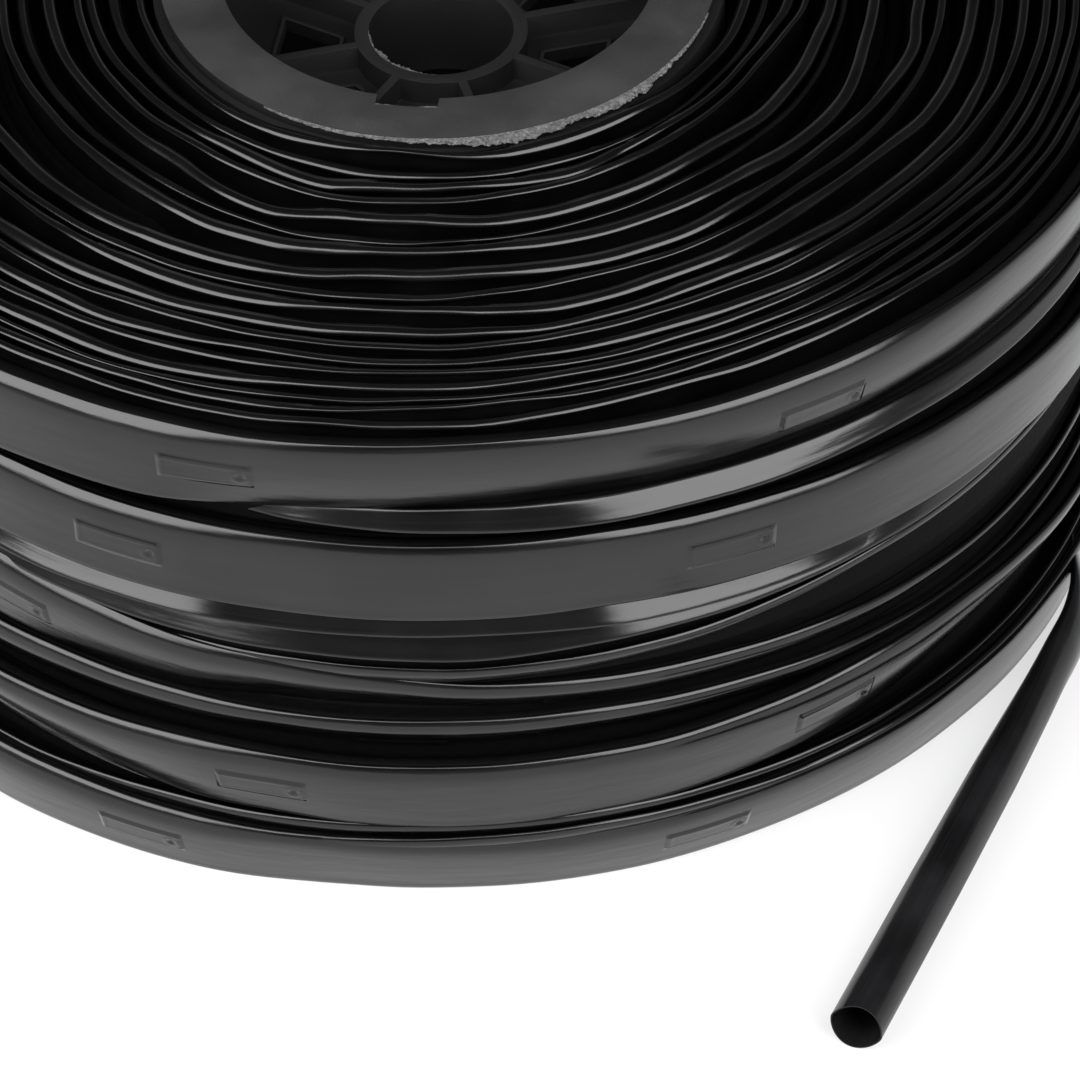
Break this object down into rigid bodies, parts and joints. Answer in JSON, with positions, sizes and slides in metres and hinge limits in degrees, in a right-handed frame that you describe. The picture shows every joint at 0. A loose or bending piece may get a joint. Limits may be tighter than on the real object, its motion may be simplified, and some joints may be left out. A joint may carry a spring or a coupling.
{
  "type": "drip tape roll",
  "caption": "Roll of flat thin-walled drip irrigation tape with inlaid emitters, wound on a tube between two ribbed moulded hubs, its free end open to a mouth.",
  "frame": {"origin": "on the roll's axis, on the surface that the roll lies on", "axes": "+Z is the roll's axis, up through the spindle bore; the pictured side faces -Y; the free end leaves past +X and runs towards -Y"},
  "size_m": [0.3896, 0.4402, 0.16],
  "materials": {
    "tape": "satin",
    "hub": "matt moulded",
    "core": "matt",
    "emitter": "satin moulded"
  },
  "bodies": {
    "root": {"core_tube": "core", "lower_hub": "hub", "upper_hub": "hub", "buried_winding": "tape", "wound_tape": "tape", "free_end": "tape", "emitter_01": "emitter", "emitter_02": "emitter", "emitter_03": "emitter", "emitter_04": "emitter", "emitter_05": "emitter", "emitter_06": "emitter", "emitter_07": "emitter", "emitter_08": "emitter", "emitter_09": "emitter", "emitter_10": "emitter", "emitter_11": "emitter", "emitter_12": "emitter", "emitter_13": "emitter", "emitter_14": "emitter", "emitter_15": "emitter", "emitter_16": "emitter", "emitter_17": "emitter", "emitter_18": "emitter", "emitter_19": "emitter", "emitter_20": "emitter", "emitter_21": "emitter", "emitter_22": "emitter", "emitter_23": "emitter", "emitter_24": "emitter", "emitter_25": "emitter", "emitter_26": "emitter", "emitter_27": "emitter", "emitter_28": "emitter", "emitter_29": "emitter", "emitter_30": "emitter", "emitter_31": "emitter", "emitter_32": "emitter", "emitter_33": "emitter", "emitter_34": "emitter", "emitter_35": "emitter", "emitter_36": "emitter", "emitter_37": "emitter", "emitter_38": "emitter", "emitter_39": "emitter", "emitter_40": "emitter", "emitter_41": "emitter", "emitter_42": "emitter", "emitter_43": "emitter", "emitter_44": "emitter", "emitter_45": "emitter", "emitter_46": "emitter"}
  },
  "joints": []
}
